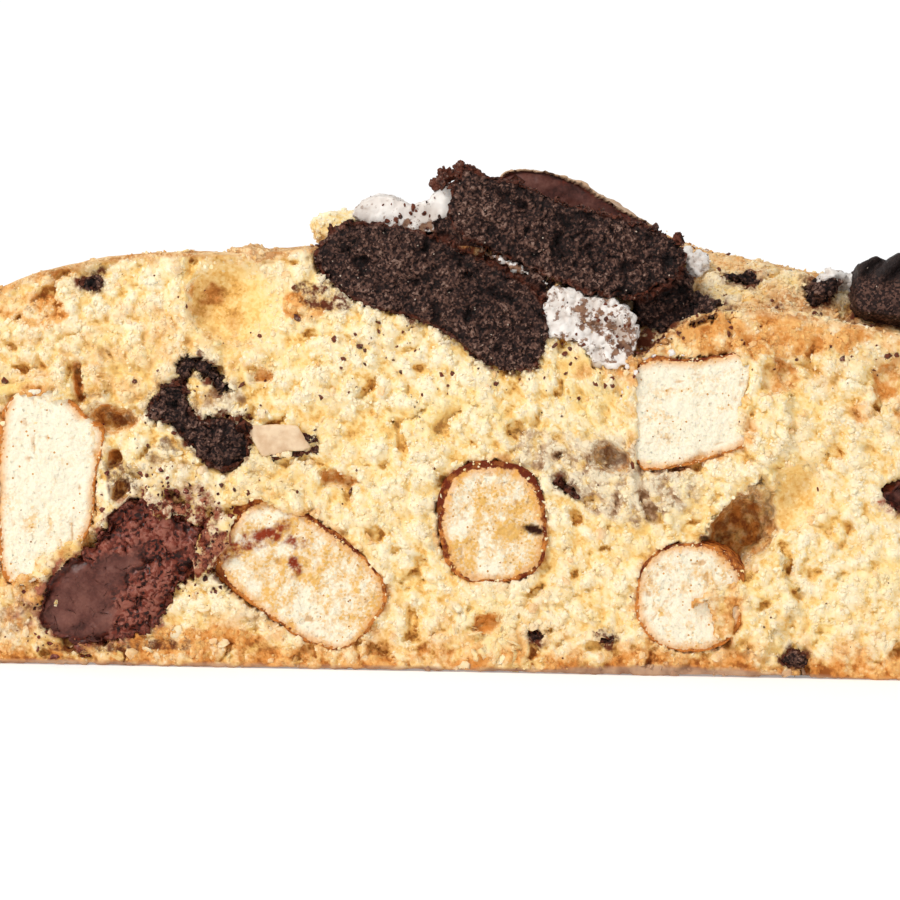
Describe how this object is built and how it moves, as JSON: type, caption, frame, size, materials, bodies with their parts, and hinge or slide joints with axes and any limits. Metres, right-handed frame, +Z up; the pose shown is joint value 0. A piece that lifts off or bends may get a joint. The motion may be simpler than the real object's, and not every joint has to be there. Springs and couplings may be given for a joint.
{
  "type": "biscotti",
  "caption": "Domed slice of crumbly baked biscuit standing on its base, with broken chocolate sandwich biscuit, pretzel and chocolate pieces set in the cut crumb.",
  "frame": {"origin": "middle of the browned base, on the surface the slice stands on", "axes": "+X along the slice, +Y from the front cut face towards the back one, +Z up from the base"},
  "size_m": [0.092, 0.017, 0.0255],
  "materials": {
    "dough": "dry open crumb with a browned crust",
    "wafer": "dark cocoa biscuit, dry and grainy",
    "cream": "white sugar cream, slightly waxy",
    "chocolate": "milk chocolate, satin where cut, glossy where melted",
    "pretzel": "pale dry inside with a thin brown glazed rind",
    "chip": "pale confectionery chip, waxy"
  },
  "bodies": {
    "root": {"wafer_upper": "wafer", "wafer_lower": "wafer", "cream_left": "cream", "cream_right": "cream", "wafer_rim": "wafer", "bit_beside_rim": "wafer", "melted_chocolate": "chocolate", "pretzel_left": "pretzel", "pretzel_low_left": "pretzel", "pretzel_middle": "pretzel", "pretzel_low_right": "pretzel", "pretzel_high_right": "pretzel", "chocolate_chunk": "chocolate", "wafer_fragment": "wafer", "pale_chip": "chip", "bit_valley": "wafer", "bit_crest": "wafer", "bit_high_left": "wafer", "bit_middle": "wafer", "bit_low_left": "wafer", "bit_low_right": "wafer", "bit_base": "wafer", "bit_right": "chocolate", "pretzel_far_left": "pretzel", "pretzel_far_right": "pretzel", "chocolate_far_right": "chocolate", "chocolate_far_left": "chocolate", "wafer_far_left": "wafer", "wafer_far_right": "wafer", "pretzel_back_left": "pretzel", "pretzel_back_right": "pretzel", "chocolate_back": "chocolate", "chocolate_back_left": "chocolate", "wafer_back": "wafer", "wafer_crust": "wafer", "pretzel_crust": "pretzel", "crumb": "dough"}
  },
  "joints": []
}
